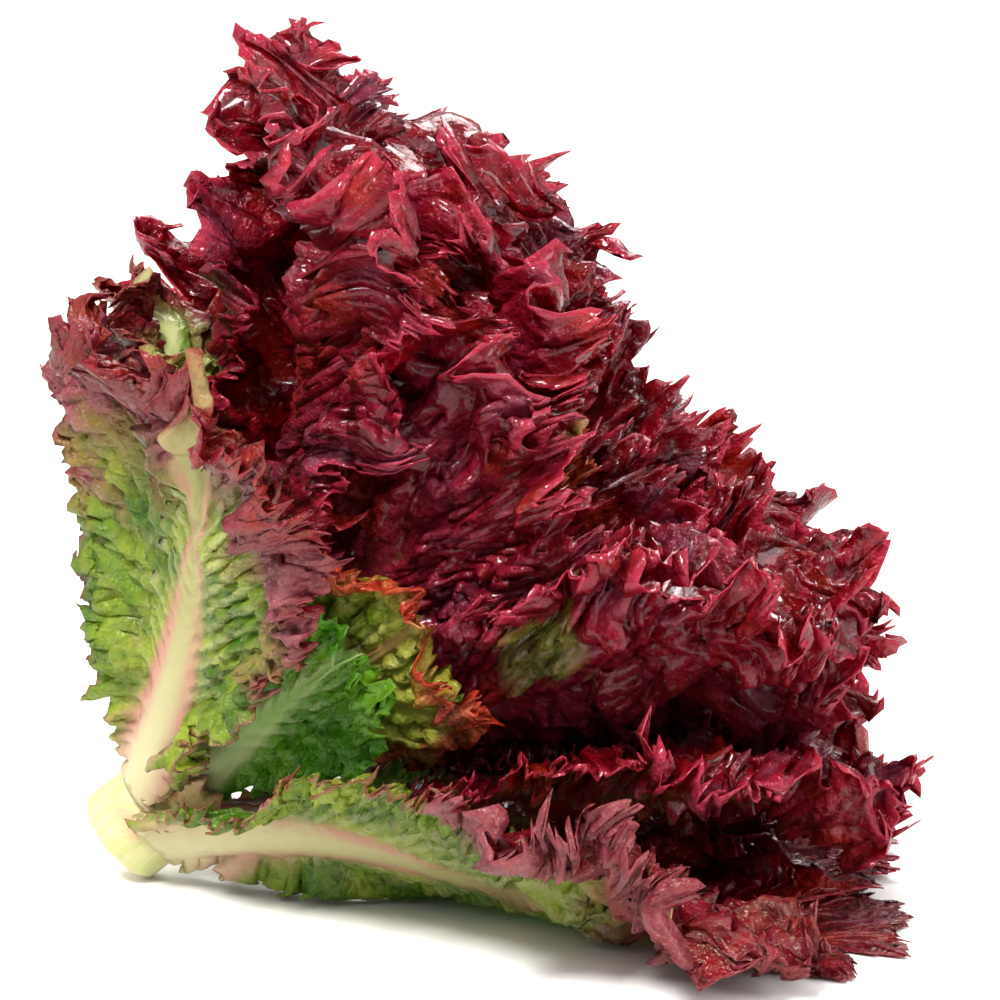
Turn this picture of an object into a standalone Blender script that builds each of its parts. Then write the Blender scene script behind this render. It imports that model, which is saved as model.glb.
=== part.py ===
"""A head of lollo rosso lettuce, lying on its side as it was cut and trimmed.

Metres, +Z up. The origin is at the middle of the head's outline on the surface that it lies on. The head is
a tapered stem that carries leaves on a golden-angle spiral, outermost first. Every leaf is one closed sheet
with a thick midrib, a waved blade and a toothed edge, and one base is left where a leaf was pulled off.

A place in the head is a level, an azimuth and a height: levels are nested shells that open like a flower, and
a leaf waves only between the shells next to its own, so no leaf runs through another.
"""

import math
from dataclasses import dataclass

import bmesh
import bpy
import numpy as np
from mathutils import Matrix, Vector

# The head as it lies
HEAD_REACH = 0.204  # from the cut end to the furthest leaf edges
AXIS_RISE = math.radians(40)  # the stem's axis above the surface
AXIS_TURN = math.radians(8)  # and its turn to the front, which is -Y
CUT_END = np.array([-0.0990, 0.0116, 0.0094])  # centre of the stem's cut end
FLOOR_LEVEL = 0.0010  # leaves bend away before they come this near to the surface
FLOOR_SOFT = 0.0030
LEAF_STACK = 0.0005  # each further leaf stays this much higher
SLUMP = 0.0055  # how far leaves sink beyond the stem
SLUMP_FROM, SLUMP_TO = -0.048, 0.020  # along X
SETTLED = 0.0009  # what is this near to the surface lies flat on it

# The spiral of leaves
PLACES = 24
GOLDEN_ANGLE = math.radians(137.508)
FIRST_AZIMUTH = math.radians(157)  # 0 is up, 90 to the front and 180 down
TORN_PLACE = 5  # a front leaf that was pulled off
ASIDE = {2: math.radians(-26), 5: math.radians(-22), 7: math.radians(46)}  # leaves pushed round from the rule
SWEEP = {0: math.radians(-36), 2: math.radians(8)}  # leaves whose stalks start this much further round
WIDTH = {2: 0.8, 7: 0.75}  # leaves narrower than the rule
STALK = {0: 1.3, 2: 1.2}  # leaves with broader stalks than the rule
CLOSE = {2: 0.95, 4: 0.95}  # most levels that these two wave, because they lie closer than the rule
GREEN_PLACES = (7,)
HEART_PLACES = (18, 22, 23)
OPEN_OUTER = math.radians(46)  # how far the outermost shell opens from the axis
OPEN_HEART = math.radians(6)
ROUND_UP, ROUND_SIDE, ROUND_DOWN = 1.15, 0.74, 0.945  # the lying head is wider up and down than sideways
ROUND_BACK, BACK_AZIMUTH = 0.12, math.radians(225)  # and sinks to the surface at the lower back
FLARE = 0.30  # how much further the shells open at the rim, less below
RIM_DROP = 3  # power of that opening with the distance from the stem

# The stem
STEM_RADIUS = 0.0128
HEART_RADIUS = 0.0036
FIRST_ROOT = 0.012  # from the cut end to the outermost leaf's root
LAST_ROOT = 0.050
STEM_TIP = 0.0545
STEM_GAP = 0.0003
CUT_EDGE = 0.0012  # rounding of the cut end
STEM_SIDES = 20

# One leaf
REACH = (  # from the stem's cut end to the tip, for the six leaves of each round from the outside in
    (0.198, 0.172, 0.158, 0.198, 0.142, 0.150),
    (0.176, 0.112, 0.202, 0.208, 0.124, 0.206),
    (0.210, 0.204, 0.192, 0.184, 0.206, 0.208),
    (0.152, 0.172, 0.196, 0.180, 0.160, 0.140),
)
BLADE_ANGLE_OUTER = math.radians(43)  # half of what the blade takes of the way round the axis
BLADE_ANGLE_HEART = math.radians(50)
PETIOLE_OUTER, PETIOLE_HEART = 0.0090, 0.0028  # half of the leaf's width at its root
RIB_OUTER, RIB_HEART = 0.0036, 0.0012  # the midrib's thickness at the root
BLADE_THICKNESS = 0.0009
RIB_TOP = 0.64  # share of the length where the midrib ends
RIB_SPREAD = 0.75  # power that spreads the side veins along it
WAVE_LENGTH = 0.034  # along the edge, before it is waved
WAVE_ANGLE = 1.1  # how steeply the edge turns from its own line, in radians
WAVE_LEVELS = 1.40  # most that a wave leaves its own shell, in levels
TWIN_ANGLE = math.radians(85)  # between a leaf and the second after it, where both may wave one level
TWIN_SLOPE = 2.4  # levels lost a radian beyond half of that
SWEEP_END = 0.75  # share of the length where a swept leaf has come to its own azimuth
NARROW, BROAD = 0.010, 0.040  # blade from midrib to edge where waves begin, and where they are whole
TOOTH = 0.0048
NOTCH = 0.0030
TORN_LENGTH = 0.017

COLUMNS_PER_WAVE = 4
ROWS = (0.0, 0.085, 0.42, 0.75, 1.0)  # shares of the way from midrib to edge
COARSE_ROWS = 2  # the rows next to the midrib have half the columns
FINE = 1200  # samples along an edge when its line is worked out

LEAF_RED = (0.16, 0.02, 0.03, 1.0)
HEART_RED = (0.30, 0.07, 0.03, 1.0)
LEAF_GREEN = (0.12, 0.27, 0.03, 1.0)
STEM_CREAM = (0.80, 0.78, 0.58, 1.0)
TORN_OLIVE = (0.55, 0.52, 0.20, 1.0)


def axes():
    """The head's axis, and the two directions across it: up and to the front."""
    turn = np.array([math.cos(AXIS_TURN), -math.sin(AXIS_TURN), 0.0])
    up = np.array([0.0, 0.0, 1.0])
    front = np.array([-math.sin(AXIS_TURN), -math.cos(AXIS_TURN), 0.0])
    axis = turn * math.cos(AXIS_RISE) + up * math.sin(AXIS_RISE)
    return axis, up * math.cos(AXIS_RISE) - turn * math.sin(AXIS_RISE), front


AXIS, UP, FRONT = axes()


def between(start, end, share):
    """The value a share of the way from start to end."""
    return start + (end - start) * share


def smooth_step(low, high, value):
    """0 below low, 1 above high and a smooth rise between."""
    x = np.clip((value - low) / (high - low), 0.0, 1.0)
    return x * x * (3.0 - 2.0 * x)


def shell_parts(level, azimuth, height):
    """Distance along the axis and out from it, for a place in the head."""
    share = level / (PLACES - 1)
    root_out = between(STEM_RADIUS, HEART_RADIUS, share)
    root_along = between(FIRST_ROOT, LAST_ROOT, share)
    up = np.cos(azimuth)
    flat = np.where(up > 0.0, ROUND_UP, ROUND_DOWN) - ROUND_SIDE
    back = ROUND_BACK * np.clip(np.cos(azimuth - BACK_AZIMUTH), 0.0, 1.0) ** 4
    opening = between(OPEN_OUTER, OPEN_HEART, share) * (ROUND_SIDE + flat * up * up + back)
    flare = FLARE * (0.55 + 0.45 * up)
    opening = opening * (1.0 + flare * ((height + root_along) / HEAD_REACH) ** RIM_DROP)
    return root_along + height * np.cos(opening), root_out + height * np.sin(opening)


def shell_point(level, azimuth, height):
    """The point at a level, an azimuth and a height, as an array of X, Y, Z."""
    along, out = shell_parts(level, azimuth, height)
    points = CUT_END + along[:, None] * AXIS
    return points + (out * np.cos(azimuth))[:, None] * UP + (out * np.sin(azimuth))[:, None] * FRONT


def shell_gap(level, azimuth, height):
    """How far apart two shells are there, one level from the other."""
    inner = shell_point(level + 0.5, azimuth, height)
    outer = shell_point(level - 0.5, azimuth, height)
    return np.linalg.norm(inner - outer, axis=1)


def settle(points, place):
    """Lets points sink beyond the stem, and bends up what would enter the surface."""
    floor = FLOOR_LEVEL + LEAF_STACK * place
    points[:, 2] -= SLUMP * smooth_step(SLUMP_FROM, SLUMP_TO, points[:, 0])
    points[:, 2] = floor + FLOOR_SOFT * np.logaddexp(0.0, (points[:, 2] - floor) / FLOOR_SOFT)
    return points


@dataclass
class Leaf:
    """The sizes of one leaf, from its place on the spiral."""

    place: int

    def __post_init__(self):
        self.random = np.random.default_rng(100 + self.place)
        share = self.place / (PLACES - 1)
        self.azimuth = FIRST_AZIMUTH + self.place * GOLDEN_ANGLE + ASIDE.get(self.place, 0.0)
        reach = REACH[self.place // 6][self.place % 6]
        self.length = reach - between(FIRST_ROOT, LAST_ROOT, share)
        self.blade_angle = between(BLADE_ANGLE_OUTER, BLADE_ANGLE_HEART, share) * WIDTH.get(self.place, 1.0)
        self.petiole = between(PETIOLE_OUTER, PETIOLE_HEART, share) * STALK.get(self.place, 1.0)
        self.rib = between(RIB_OUTER, RIB_HEART, share) * WIDTH.get(self.place, 1.0)
        self.set_edge()
        self.waves = max(6, round(2.0 * self.edge_length / WAVE_LENGTH))
        self.phase = self.random.uniform(0.0, 2.0 * math.pi)
        self.drift = [(self.random.uniform(-0.5, 0.5), self.random.uniform(0.0, 6.28)) for _ in range(3)]

    def out(self, share_up):
        """Distance of the leaf's midline from the head's axis."""
        height = share_up * self.length
        return shell_parts(self.place, self.azimuth, height)[1]

    def set_edge(self):
        """The leaf's edge from tip to root on one side: half-angle and share of the length, at even steps."""
        up = np.linspace(1.0, 0.0, FINE)
        petiole = self.petiole / self.out(up) * (1.0 + 0.9 * smooth_step(0.0, 0.3, up))
        wing = smooth_step(0.06, 0.46, up)
        top = np.sqrt(1.0 - np.clip((up - 0.66) / 0.34, 0.0, 1.0) ** 2.4)
        half = np.minimum(np.maximum(petiole, self.blade_angle * wing), self.blade_angle) * top
        across = np.diff(half) * self.out(up[1:])
        steps = np.hypot(across, np.diff(up) * self.length)
        run = np.concatenate([[0.0], np.cumsum(steps)])
        self.edge_length = float(run[-1])
        even = np.linspace(0.0, run[-1], FINE)
        self.edge_half = np.interp(even, run, half)
        self.edge_up = np.interp(even, run, up)

    def on_sheet(self, side, rows):
        """Half-angle and height on the flat leaf. side is 0 at the tip, rows run from 0 to 1."""
        from_tip = np.abs(side)
        steps = np.linspace(0.0, 1.0, FINE)
        half = np.interp(from_tip, steps, self.edge_half)
        edge_up = np.interp(from_tip, steps, self.edge_up)
        rib_up = np.minimum(RIB_TOP * (1.0 - from_tip) ** RIB_SPREAD, edge_up)
        up = rib_up + (edge_up - rib_up) * rows**1.15
        return np.sign(side) * half * rows, up * self.length

    def breadth(self, side):
        """Distance from the midrib to the edge along one column."""
        level = np.full_like(side, float(self.place))
        ends = []
        for row in (0.0, 1.0):
            angle, height = self.on_sheet(side, np.full_like(side, row))
            ends.append(shell_point(level, self.azimuth + angle, height))
        return np.linalg.norm(ends[1] - ends[0], axis=1)

    def row_line(self, row):
        """Where the columns of one row move to: side, and how far off the shell, at FINE steps."""
        side = np.linspace(-1.0, 1.0, 2 * FINE + 1)
        angle, height = self.on_sheet(side, np.full_like(side, row))
        line = shell_point(np.full_like(side, float(self.place)), self.azimuth + angle, height)
        length = float(np.linalg.norm(np.diff(line, axis=0), axis=1).sum())
        turn = WAVE_ANGLE * smooth_step(0.15, 1.0, row) * smooth_step(NARROW, BROAD, self.breadth(side))
        drift = np.zeros_like(side)
        for order, (size, start) in enumerate(self.drift):
            drift += size * np.sin((order + 1) * math.pi * side + start)
        theta = turn * np.sin(math.pi * self.waves * side + self.phase + drift)
        window = max(3, round(len(side) / self.waves))
        ahead = np.cos(theta)
        mean = moving_mean(ahead, window)
        step = side[1] - side[0]
        moved = side[0] + np.cumsum(ahead / mean) * step
        off = np.cumsum(np.sin(theta) / mean) * step * length / 2.0
        moved = side + (moved - side) - moving_mean(moved - side, window)
        return side, moved, off - moving_mean(off, window)

    def points(self, side, rows, teeth):
        """The leaf's inner face for arrays of side and row, with teeth from -1 to 1 on its last row."""
        moved, off = np.array(side), np.zeros_like(side)
        for row in np.unique(rows):
            here = rows == row
            if row <= 0.0:
                continue
            steps, to, away = self.row_line(row)
            moved[here] = np.interp(side[here], steps, to)
            off[here] = np.interp(side[here], steps, away)
        moved = np.clip(moved, -1.0, 1.0)
        breadth = self.breadth(moved)
        longer = np.where(teeth > 0.0, TOOTH, NOTCH) * teeth * smooth_step(NARROW, BROAD, breadth) / breadth
        angle, height = self.on_sheet(moved, rows + longer)
        sweep = SWEEP.get(self.place, 0.0) * (1.0 - smooth_step(0.0, SWEEP_END, height / self.length))
        azimuth = self.azimuth + angle + sweep
        level = np.full_like(side, float(self.place))
        gap = shell_gap(level, azimuth, height)
        room = 1.0 - TWIN_SLOPE * (np.abs(angle) - 0.5 * TWIN_ANGLE)
        room = np.clip(room, 0.1, CLOSE.get(self.place, WAVE_LEVELS)) - BLADE_THICKNESS / gap
        level = level + room * np.tanh(off / (gap * room))
        return settle(shell_point(level, azimuth, height), self.place), angle, height

    def thickness(self, angle, height):
        """The leaf's thickness: a rib that thins towards the tip, on a thin blade."""
        up = height / self.length
        rib = between(self.rib, BLADE_THICKNESS, smooth_step(-0.1, RIB_TOP, up))
        width = between(self.petiole, 0.25 * self.petiole, smooth_step(0.0, 0.7, up))
        across = np.abs(angle) * self.out(up) / width
        bulge = np.clip(1.0 - across * across, 0.0, 1.0)
        return between(BLADE_THICKNESS, rib, bulge)


def moving_mean(values, window):
    """The mean of each value's neighbours within the window."""
    half = window // 2
    padded = np.concatenate([[values[0]] * half, values, [values[-1]] * half])
    total = np.concatenate([[0.0], np.cumsum(padded)])
    return (total[2 * half + 1 :] - total[: -2 * half - 1]) / (2 * half + 1)


def sheet_grid(columns, rows):
    """A grid in side and row, with half the columns in the rows next to the midrib."""
    mesh = bmesh.new()
    bmesh.ops.create_grid(mesh, x_segments=columns // 2, y_segments=len(rows) - 1, size=1.0)
    count = len(rows) - 1
    fine = []
    for edge in mesh.edges:
        row = [round((corner.co.y + 1.0) / 2.0 * count) for corner in edge.verts]
        if row[0] == row[1] and row[0] >= COARSE_ROWS:
            fine.append(edge)
    bmesh.ops.subdivide_edges(mesh, edges=fine, cuts=1, use_grid_fill=True)
    return mesh


def leaf_object(name, leaf, rows, columns, length_share=1.0):
    """One leaf as a closed sheet of varying thickness. length_share below 1 keeps only the leaf's base."""
    mesh = sheet_grid(columns, rows)
    mesh.verts.ensure_lookup_table()
    flat = np.array([corner.co for corner in mesh.verts])
    count = len(rows) - 1
    row_number = np.round((flat[:, 1] + 1.0) / 2.0 * count).astype(int)
    row = np.array(rows)[row_number]
    side = flat[:, 0]
    column = np.round((side + 1.0) / 2.0 * columns).astype(int)
    teeth = np.where(column % 2 == 0, 1.0, -1.0) * (row_number == count)
    points, angle, height = leaf.points(side, row, teeth)
    if length_share < 1.0:
        angle = leaf.petiole / leaf.out(0.0) * side
        height = (1.0 - row) * length_share * leaf.length * (1.0 - 0.25 * np.cos(7.0 * side) * (row == 0.0))
        points = shell_point(np.full_like(side, float(leaf.place)), leaf.azimuth + angle, height)
    for corner, point in zip(mesh.verts, points):
        corner.co = point
    if length_share >= 1.0:
        ridge = [mesh.verts[i] for i in np.flatnonzero(row_number == 0)]
        bmesh.ops.remove_doubles(mesh, verts=ridge, dist=0.00002)
    bmesh.ops.triangulate(mesh, faces=mesh.faces)
    turn_outwards(mesh, leaf)
    weights = dict(zip(map(tuple, np.round(points, 7)), leaf.thickness(angle, height)))
    data = bpy.data.meshes.new(name)
    mesh.to_mesh(data)
    mesh.free()
    return thickened(name, data, weights)


def turn_outwards(mesh, leaf):
    """Turns the sheet so that its faces point away from the head's axis."""
    mesh.normal_update()
    out = np.cos(leaf.azimuth) * UP + np.sin(leaf.azimuth) * FRONT
    facing = sum(float(np.dot(face.normal, out)) * face.calc_area() for face in mesh.faces)
    if facing < 0.0:
        bmesh.ops.reverse_faces(mesh, faces=mesh.faces)


def thickened(name, data, weights):
    """The sheet thickened outwards to its own thickness at every point, and pressed flat where it lies."""
    made = bpy.data.objects.new(name, data)
    bpy.context.scene.collection.objects.link(made)
    group = made.vertex_groups.new(name="thickness")
    most = max(weights.values())
    for vertex in data.vertices:
        key = tuple(np.round(np.array(vertex.co, float), 7))
        nearest = weights.get(key)
        if nearest is None:
            nearest = min(weights.items(), key=lambda item: math.dist(item[0], key))[1]
        group.add([vertex.index], nearest / most, "REPLACE")
    solidify = made.modifiers.new("thickness", "SOLIDIFY")
    solidify.thickness = most
    solidify.offset = 1.0
    solidify.vertex_group = group.name
    solidify.thickness_vertex_group = 0.0
    solidify.use_even_offset = False
    return laid_down(made)


def laid_down(made):
    """The object with its modifiers and place worked into its mesh, flat where it lies."""
    bpy.context.view_layer.update()
    solid = bpy.data.meshes.new_from_object(made.evaluated_get(bpy.context.evaluated_depsgraph_get()))
    solid.transform(made.matrix_world)
    made.modifiers.clear()
    made.data = solid
    made.matrix_world = Matrix()
    for vertex in solid.vertices:
        if vertex.co.z < SETTLED:
            vertex.co.z = 0.0
    return made


def stem_object():
    """The tapered stem: a turned profile on the head's axis, with a flat cut end."""
    profile = [(0.0, STEM_TIP)]
    for step in range(9):
        share = 1.0 - step / 8.0
        radius = between(STEM_RADIUS, HEART_RADIUS, share) - STEM_GAP
        profile.append((radius, between(FIRST_ROOT, LAST_ROOT, share)))
    profile += [(STEM_RADIUS - STEM_GAP, CUT_EDGE), (STEM_RADIUS - STEM_GAP - CUT_EDGE, 0.0), (0.0, 0.0)]
    outline = bmesh.new()
    corners = [outline.verts.new((radius, 0.0, along)) for radius, along in profile]
    for first, second in zip(corners, corners[1:]):
        outline.edges.new((first, second))
    data = bpy.data.meshes.new("stem")
    outline.to_mesh(data)
    outline.free()
    stem = bpy.data.objects.new("stem", data)
    bpy.context.scene.collection.objects.link(stem)
    screw = stem.modifiers.new("turned", "SCREW")
    screw.steps = screw.render_steps = STEM_SIDES
    screw.use_merge_vertices = True
    screw.merge_threshold = 0.00005
    stem.location = CUT_END
    stem.rotation_mode = "QUATERNION"
    stem.rotation_quaternion = Vector(AXIS).to_track_quat("Z", "Y")
    return laid_down(stem)


def finish(name, colour, roughness):
    """A Principled material of one colour."""
    made = bpy.data.materials.new(name)
    made.use_nodes = True
    shader = made.node_tree.nodes["Principled BSDF"]
    shader.inputs["Base Color"].default_value = colour
    shader.inputs["Roughness"].default_value = roughness
    shader.inputs["Metallic"].default_value = 0.0
    return made


def build():
    """Clears the scene and makes the stem, the torn base and the leaves."""
    for old in list(bpy.data.objects):
        bpy.data.objects.remove(old)
    head = bpy.data.collections.new("lollo rosso lettuce")
    bpy.context.scene.collection.children.link(head)
    made = [(stem_object(), finish("stem_flesh", STEM_CREAM, 0.5))]
    red = finish("red_leaf", LEAF_RED, 0.35)
    green = finish("green_leaf", LEAF_GREEN, 0.4)
    heart = finish("heart_leaf", HEART_RED, 0.35)
    torn = finish("torn_base", TORN_OLIVE, 0.6)
    number = 0
    for place in range(PLACES):
        leaf = Leaf(place)
        if place == TORN_PLACE:
            share = TORN_LENGTH / leaf.length
            made.append((leaf_object("torn_base", leaf, (0.0, 0.5, 1.0), 12, share), torn))
            continue
        number += 1
        material = green if place in GREEN_PLACES else heart if place in HEART_PLACES else red
        made.append((leaf_object(f"leaf_{number:02d}", leaf, ROWS, COLUMNS_PER_WAVE * leaf.waves), material))
    for thing, material in made:
        thing.data.materials.clear()
        thing.data.materials.append(material)
        bpy.context.scene.collection.objects.unlink(thing)
        head.objects.link(thing)


build()
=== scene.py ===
"""A head of lollo rosso lettuce that lies on its side, dressed over its CAD frame.

Metres, +Z up. The head is a tapered stem that carries leaves on a golden-angle spiral, outermost first. A
place in the head is a level, an azimuth and a height: levels are nested shells that open like a flower. Each
leaf's blade grows longer than its own outline towards the edge, so the edge folds into frills, and the
frills fill the room up to the leaves on both sides.
"""

import logging
import math
from dataclasses import dataclass, field
from enum import Enum

import bmesh
import bpy
import numpy as np
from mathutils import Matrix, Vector

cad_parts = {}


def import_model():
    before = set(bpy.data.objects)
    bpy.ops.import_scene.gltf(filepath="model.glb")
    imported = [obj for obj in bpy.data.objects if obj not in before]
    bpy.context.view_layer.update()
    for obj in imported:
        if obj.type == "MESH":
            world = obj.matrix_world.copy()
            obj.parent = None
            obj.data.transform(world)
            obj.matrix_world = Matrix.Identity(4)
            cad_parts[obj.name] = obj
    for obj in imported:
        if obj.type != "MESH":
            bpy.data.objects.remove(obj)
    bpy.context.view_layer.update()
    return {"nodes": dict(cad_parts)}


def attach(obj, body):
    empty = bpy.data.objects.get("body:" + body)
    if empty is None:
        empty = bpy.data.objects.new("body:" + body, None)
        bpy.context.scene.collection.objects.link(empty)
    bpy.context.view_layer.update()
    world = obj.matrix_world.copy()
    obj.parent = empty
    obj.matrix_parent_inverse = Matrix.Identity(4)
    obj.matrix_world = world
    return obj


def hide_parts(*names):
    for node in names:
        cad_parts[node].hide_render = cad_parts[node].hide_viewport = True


LOG = logging.getLogger("lettuce")
MM = 0.001

Array = np.ndarray
Numbers = Array | float
Spots = dict[str, Array]  # a value for each vertex, by name
Point = tuple[float, float, float]
Waves = tuple[tuple[float, int, float, float], ...]  # a size, whole turns, a rate along and a start for each
Tree = bpy.types.NodeTree
Socket = bpy.types.NodeSocket
Colour = str | Socket  # an sRGB hex value, or what a node gives out


def between(start: float, end: float, share: Numbers) -> Numbers:
    """The value a share of the way from start to end."""
    return start + (end - start) * share


def smooth_step(low: float, high: float, value: Numbers) -> Numbers:
    """0 below low, 1 above high and a smooth rise between."""
    x = np.clip((value - low) / (high - low), 0.0, 1.0)
    return x * x * (3.0 - 2.0 * x)


def moving_mean(values: Array, window: int) -> Array:
    """Averages each value with its neighbours.

    Args:
        values: Samples along a line.
        window: How many samples one mean takes.

    Returns:
        The means, as many as the samples.
    """
    half = window // 2
    padded = np.concatenate([[values[0]] * half, values, [values[-1]] * half])
    total = np.concatenate([[0.0], np.cumsum(padded)])
    return (total[2 * half + 1 :] - total[: -2 * half - 1]) / (2 * half + 1)


class Tone(Enum):
    """How a leaf is coloured from its root to its edge."""

    OUTER = "green blade, red edge"
    PALE = "yellow-green blade, red edge"
    GREEN = "green all over"
    RED = "red blade"
    HEART = "yellow-green heart, orange-red edge"


@dataclass(frozen=True)
class Head:
    """The shells of the whole head and how it lies, as in its frame."""

    reach: float = 0.204  # from the cut end to the furthest leaf edges
    rise: float = math.radians(40)  # the stem's axis above the surface
    turn: float = math.radians(8)  # and its turn to the front, which is -Y
    cut_end: Point = (-0.0990, 0.0116, 0.0094)
    places: int = 24
    spiral: float = math.radians(137.508)  # the golden angle from one leaf to the next
    first_azimuth: float = math.radians(157)
    open_outer: float = math.radians(46)  # angle from the axis to the outermost shell
    open_heart: float = math.radians(6)  # and to the innermost one
    round_up: float = 1.15  # how much wider or narrower the shells open on each side
    round_side: float = 0.74
    round_down: float = 0.945
    round_back: float = 0.12
    back_azimuth: float = math.radians(225)
    back_focus: int = 4
    flare: float = 0.30  # how much further the shells open towards their rims
    flare_side: float = 0.55
    flare_up: float = 0.45
    rim_drop: int = 3
    stem_radius: float = 0.0128
    heart_radius: float = 0.0036
    first_root: float = 0.012
    last_root: float = 0.050
    floor: float = 0.0010  # leaves bend away before they come this near to the surface
    floor_soft: float = 0.0030
    leaf_stack: float = 0.0005  # each further leaf stays this much higher
    slump: float = 0.0055  # how far the leaves sink beyond the stem
    slump_from: float = -0.048
    slump_to: float = 0.020
    usual_gap: float = 0.0042  # from one level to the next near the rims
    usual_out: float = 0.09  # from the axis to the shells near the rims
    fold_turns: float = 0.25  # what a level counts for as a turn in the folds round the axis
    folds_from: float = 0.075  # distance from the cut end where the common folds begin
    folds_to: float = 0.150
    # folds that move places inwards, round the axis and up, each of 1 to 4 mm
    folds_in: Waves = (
        (0.0036, 13, 70.0, 0.4),
        (0.0030, 21, -120.0, 2.1),
        (0.0022, 34, 250.0, 4.0),
        (0.0012, 47, -430.0, 1.2),
    )
    folds_round: Waves = (
        (0.0036, 1, 150.0, 0.9),
        (0.0024, 2, -290.0, 3.3),
    )
    folds_up: Waves = (
        (0.0036, 11, 260.0, 1.7),
        (0.0024, 23, -330.0, 5.1),
    )

    def directions(self) -> tuple[Array, Array, Array]:
        """The stem's axis, and the two directions across it: up and to the front."""
        ahead = np.array([math.cos(self.turn), -math.sin(self.turn), 0.0])
        above = np.array([0.0, 0.0, 1.0])
        front = np.array([-math.sin(self.turn), -math.cos(self.turn), 0.0])
        axis = ahead * math.cos(self.rise) + above * math.sin(self.rise)
        return axis, above * math.cos(self.rise) - ahead * math.sin(self.rise), front

    def root(self, level: Numbers) -> Numbers:
        """Distance from the cut end to a level's root, along the axis."""
        return between(self.first_root, self.last_root, level / (self.places - 1))

    def parts(self, level: Array, azimuth: Array, height: Array) -> tuple[Array, Array]:
        """Works out how far along the axis and out from it a place lies.

        Args:
            level: Shells from the outside in.
            azimuth: Round the axis, 0 up and 90 degrees to the front.
            height: From the shell's root along the shell.

        Returns:
            Distances along the axis and out from it.
        """
        share = level / (self.places - 1)
        out = between(self.stem_radius, self.heart_radius, share)
        up = np.cos(azimuth)
        flat = np.where(up > 0.0, self.round_up, self.round_down) - self.round_side
        back = self.round_back * np.clip(np.cos(azimuth - self.back_azimuth), 0.0, 1.0) ** self.back_focus
        opening = between(self.open_outer, self.open_heart, share) * (self.round_side + flat * up * up + back)
        flare = self.flare * (self.flare_side + self.flare_up * up)
        opening = opening * (1.0 + flare * ((height + self.root(level)) / self.reach) ** self.rim_drop)
        return self.root(level) + height * np.cos(opening), out + height * np.sin(opening)

    def point(self, level: Array, azimuth: Array, height: Array) -> Array:
        """The points at levels, azimuths and heights, as rows of X, Y and Z."""
        along, out = self.parts(level, azimuth, height)
        axis, up, front = self.directions()
        points = np.array(self.cut_end) + along[:, None] * axis
        return points + (out * np.cos(azimuth))[:, None] * up + (out * np.sin(azimuth))[:, None] * front

    def crumple(self, level: Array, azimuth: Array, height: Array) -> tuple[Array, Array, Array]:
        """Folds all shells alike, so that leaves nest in each other's folds.

        Each of the three numbers is moved by an amount that only hangs on the other two, so that no two
        places meet.

        Args:
            level: Shells from the outside in.
            azimuth: Round the axis.
            height: From the shell's root along the shell.

        Returns:
            The moved levels, azimuths and heights.
        """
        free = smooth_step(self.folds_from, self.folds_to, height + self.root(level))
        level = level + free * self.wave(azimuth, height, self.folds_in) / self.usual_gap
        turned = self.wave(self.fold_turns * level, height, self.folds_round)
        azimuth = azimuth + free * turned / self.usual_out
        height = height + free * self.wave(azimuth, level * self.usual_gap, self.folds_up)
        return level, azimuth, height

    @staticmethod
    def wave(turned: Array, along: Array, orders: Waves) -> Array:
        """A sum of waves: each has a size, whole turns, a rate along in radians a metre and a start."""
        return sum(
            size * np.sin(turns * turned + rate * along + start) for size, turns, rate, start in orders
        )

    def gap(self, level: Array, azimuth: Array, height: Array) -> Array:
        """How far apart two shells are at a place, one level from the other."""
        inner = self.point(level + 0.5, azimuth, height)
        outer = self.point(level - 0.5, azimuth, height)
        return np.linalg.norm(inner - outer, axis=1)

    def settle(self, points: Array, place: int) -> Array:
        """Lets points sink beyond the stem, and bends up what would enter the surface.

        Args:
            points: Rows of X, Y and Z.
            place: The leaf's place, because each further leaf lies a little higher.

        Returns:
            The settled points.
        """
        low = self.floor + self.leaf_stack * place
        points[:, 2] -= self.slump * smooth_step(self.slump_from, self.slump_to, points[:, 0])
        points[:, 2] = low + self.floor_soft * np.logaddexp(0.0, (points[:, 2] - low) / self.floor_soft)
        return points


@dataclass(frozen=True)
class Frill:
    """One order of folds along a leaf's edge."""

    turn: float  # how far the edge swings from its own line, in radians
    repeats: int  # folds in one of the first order's
    begins: float  # row where they begin, 0 at the midrib and 1 at the edge
    whole: float  # row where they reach their full size


FRILLS = (Frill(0.70, 1, 0.10, 0.9), Frill(1.75, 3, 0.30, 0.86), Frill(1.20, 7, 0.54, 0.96))


@dataclass(frozen=True)
class Habit:
    """What sets one leaf apart from the rule of its place."""

    aside: float = 0.0  # degrees that it is pushed round the axis
    sweep: float = 0.0  # degrees further round where its stalk starts
    width: float = 1.0
    stalk: float = 1.0
    redder: float = 0.0  # how much further down its red comes, in shares of the head's reach
    tone: Tone = Tone.RED


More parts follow.
